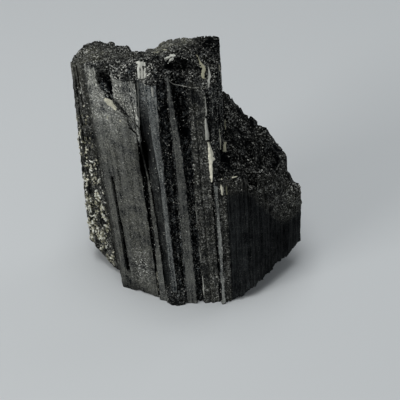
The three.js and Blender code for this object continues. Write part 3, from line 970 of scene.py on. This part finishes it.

# %% [markdown]
# ## Slivers
# Long cream and grey blades of feldspar fill cracks along the growth axis, and a few small ones lie across
# it. The two bright facets at the top, a few bright streaks in the ribs and two fibres of dust are blades as
# well, only shorter or thinner; the left facet is a painted reflection and two of the rib streaks are painted
# highlights. A blade is a five-sided spindle of rings along a short row of points, whose widths it takes
# over. Every ring is settled on the nearest rock, half sunk into it, and noise makes the edges ragged.

# %% Blades
# shade (0 olive, 1 cream, above 1 a neutral grey), thickness in mm, then points (x, y, z, width) in mm
BLADES = [
    (0.55, 0.7, [(0.8, 13.6, 120, 0.4), (2.5, 8.1, 120.4, 0.7), (3.2, 5, 121.5, 1.6), (3.7, 0, 123.2, 2.2),
                 (3.9, -8.4, 124.6, 1.5)]),
    (1.45, 0.6, [(6, 1, 123.3, 0.4), (6.6, -5, 123, 1.2), (6.2, -11, 124.5, 0.8), (5.9, -16.6, 126, 0.4)]),
    (0.6, 0.4, [(10.6, 6.6, 120.4, 0.4), (10.9, 6.5, 116.6, 0.6)]),
    (1.4, 0.5, [(4.4, -17, 122.8, 0.4), (5, -17.2, 117.2, 0.7), (5, -18.1, 112.6, 0.6)]),
    (1.5, 0.8, [(4.9, -18.3, 112, 0.5), (5.3, -18.6, 105.7, 1.4), (5.7, -19.3, 101, 2.0),
                 (5.8, -19.3, 100.4, 2.0)]),
    (1.0, 1.8, [(6.3, -19.1, 99.6, 0.7), (6.7, -19.3, 95, 1.8), (7.2, -19.4, 90, 2.9),
                (7.5, -19.6, 86.5, 3.3), (7.7, -20.5, 81, 2.6), (7.8, -21.2, 77, 0.7)]),
    (0.85, 0.5, [(11, -4.7, 93.8, 0.4), (11.4, -5.4, 87.7, 0.8), (11.6, -5.9, 82, 0.7)]),
    (0.45, 0.4, [(14.2, 15.7, 81.3, 0.4), (14.3, 9.6, 80, 0.5)]),
    (0.58, 0.7, [(13.8, 1.4, 80.4, 1.6), (13.7, -1.3, 79.5, 1.8), (13.7, -4.3, 79, 1.6)]),
    (0.85, 0.8, [(11.8, -19, 77.5, 1.0), (12.2, -21.4, 74.3, 1.7), (12.4, -21.7, 71.5, 1.3),
                 (12.5, -21.8, 69.4, 0.5)]),
    (0.5, 0.5, [(14.4, -17.9, 76.4, 0.7), (14.5, -21.4, 69.1, 0.6)]),
    (0.8, 0.5, [(16.2, -17.6, 76.1, 1.0), (19.3, -17.3, 76.8, 0.5)]),
    (0.75, 1.0, [(-37.3, -10.2, 116, 1.4), (-35, -11.5, 114.2, 2.4), (-32.2, -12.9, 111.4, 1.2)]),
    (0.8, 0.5, [(-31.2, -13.5, 107, 0.7), (-30.7, -13.6, 105.6, 0.8)]),
    (0.6, 0.5, [(-36.5, -11.3, 107.2, 0.8), (-36.4, -11.4, 105.6, 0.7)]),
    # painted highlights: a bright streak along the flake's right edge, then a bright spot on a rib top
    (1.42, 0.5, [(-22.8, -12.3, 126.4, 0.9), (-22.8, -12.8, 122.4, 0.9), (-23, -13.2, 117, 0.7),
                 (-23, -14.6, 110.3, 0.6), (-23, -15.7, 104.2, 0.3)]),
    (1.42, 0.4, [(-17, -16, 127.6, 0.8), (-16.6, -16.8, 126.2, 1.3), (-16.5, -17.1, 122, 0.4)]),
    (1.3, 0.25, [(-10.2, -16.3, 131, 0.25), (-9.1, -15.2, 128.5, 0.3), (-7.2, -15, 126.5, 0.3),
                 (-4.8, -15.2, 126, 0.3), (-2.3, -16.3, 126.8, 0.3), (0.5, -16.6, 126.6, 0.2)]),
    (1.3, 0.25, [(24, -15.5, 73.5, 0.25), (24.2, -16.9, 69.7, 0.35), (26.7, -17.9, 69.4, 0.3),
                 (28.6, -17.7, 67.9, 0.35), (30.5, -17.2, 66, 0.2)]),
    (1.75, 1.0, [(-12.2, -0.6, 128.6, 1.0), (-11, 0.4, 128.6, 2.4), (-9.6, 1.0, 128.4, 1.6)]),
    (1.7, 1.2, [(-10.4, 1.8, 127.9, 1.4), (-9, 3.0, 127.5, 2.6), (-7.8, 4.2, 127.2, 1.2)]),
    (1.5, 0.8, [(-10.4, -2.6, 128.7, 0.6), (-9.5, -1.3, 128.6, 1.6), (-8.8, 0, 128.4, 1.0)]),
    # painted reflection: the bright facet at the top left of the break, as three grey strips
    (1.62, 0.7, [(-22.7, -3.6, 130, 1.7), (-22.5, -6, 129.6, 1.8), (-22.3, -9, 128.6, 1.3),
                 (-22, -12, 127.4, 0.9)]),
    (1.42, 0.6, [(-21.3, -3.7, 130, 1.4), (-21.1, -6, 129.6, 1.6), (-20.9, -9.4, 128.6, 1.5),
                 (-20.8, -12.4, 127.4, 1.4)]),
    (1.55, 0.5, [(-20.1, -4.2, 130, 0.8), (-19.9, -7, 129.3, 0.9), (-19.7, -11.8, 127.6, 0.9)]),
    (0.6, 0.4, [(-18, 19, 117, 0.4), (-14.5, 17, 119.5, 0.8), (-11.6, 13.8, 122.6, 0.5)]),
    (0.8, 0.4, [(-17.9, -25.4, 19.5, 0.3), (-18.1, -25.3, 11, 0.6), (-18.1, -25.2, 4, 0.4)]),
    (1.3, 0.3, [(0.3, -23, 66, 0.1), (0.8, -24, 60, 0.4), (1.2, -24.6, 53, 0.1)]),
    (1.35, 0.3, [(2.1, -25.8, 40, 0.1), (2.6, -26.6, 33, 0.4), (3, -27.1, 28, 0.15)]),
    (1.5, 0.5, [(3.6, -28, 20, 0.3), (4.2, -29, 12, 0.6), (4.5, -29.4, 6, 0.4)]),
]


# %% One blade
# blades open towards the front and upwards, as the cracks do that they fill
OPEN_SIDE = Vector((0, -0.64, 0.77))
RING_GAP = 1.3


def track_of(row):
    """Rings at most about RING_GAP apart along a row: place and width."""
    track = [(Vector(row[0][:3]), row[0][3])]
    for a, b in zip(row, row[1:]):
        steps = max(2, round((Vector(b[:3]) - Vector(a[:3])).length / RING_GAP))
        track += [(Vector(a[:3]).lerp(Vector(b[:3]), k / steps), a[3] + (b[3] - a[3]) * k / steps)
                  for k in range(1, steps + 1)]
    return track


def settled(track, rock):
    """The rings on the nearest rock, smoothed along the row, and the side they open to."""
    found = [rock.find_nearest(wanted * MM)[:2] for wanted, _ in track]
    places = [place / MM for place, _ in found]
    smooth = [(places[max(0, k - 1)] + 2 * places[k] + places[min(len(places) - 1, k + 1)]) / 4
              for k in range(len(places))]
    rock_side = sum((normal for _, normal in found), Vector()).normalized()
    return smooth, (rock_side + 1.2 * OPEN_SIDE).normalized()


def blade(made, rock, shade, thickness, row):
    """Adds one closed spindle with a section of five corners."""
    track = track_of(row)
    places, opening = settled(track, rock)
    side = (places[-1] - places[0]).normalized().cross(opening).normalized()
    loops = []
    for place, (_, width) in zip(places, track):
        half = 0.5 * width * (1 + 0.5 * noise.noise(place / 1.7))
        up = thickness * (0.6 + 0.35 * noise.noise(place / 1.1 + Vector((5, 0, 0))))
        ridge = 0.3 * half * noise.noise(place / 2.3)
        section = [side * half, opening * up + side * (ridge + 0.35 * half),
                   opening * up + side * (ridge - 0.35 * half), side * -half, opening * -thickness]
        loops.append([made.verts.new((place + corner) * MM) for corner in section])
    sides = len(section)
    for first, second in zip(loops, loops[1:]):
        for i in range(sides):
            j = (i + 1) % sides
            made.faces.new((first[i], first[j], second[j], second[i]))
    made.faces.new(loops[0][::-1])
    made.faces.new(loops[-1])
    for loop in loops:
        for corner in loop:
            corner[made.verts.layers.float["shade"]] = shade


# %% Lay the blades
rock = BVHTree.FromObject(crystal, bpy.context.evaluated_depsgraph_get())
made = bmesh.new()
made.verts.layers.float.new("shade")
for shade, thickness, row in BLADES:
    blade(made, rock, shade, thickness, row)
bmesh.ops.recalc_face_normals(made, faces=made.faces)
slivers_mesh = bpy.data.meshes.new("pale_slivers")
made.to_mesh(slivers_mesh)
made.free()
slivers_mesh.materials.append(pale)
slivers = link_object("pale_slivers", slivers_mesh)
print("slivers", len(BLADES), "blades,", len(slivers_mesh.polygons), "faces")

# %% [markdown]
# ## Riding on the body
# Every piece rides on the one body, and the detailed crystal stands for the plain solid.

# %% Ride
for piece in (crystal, flank_crust, white_lumps, painted_glints_and_pale_specks, slivers):
    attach(piece, "root")
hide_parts("tourmaline_crystal")
bpy.context.view_layer.update()
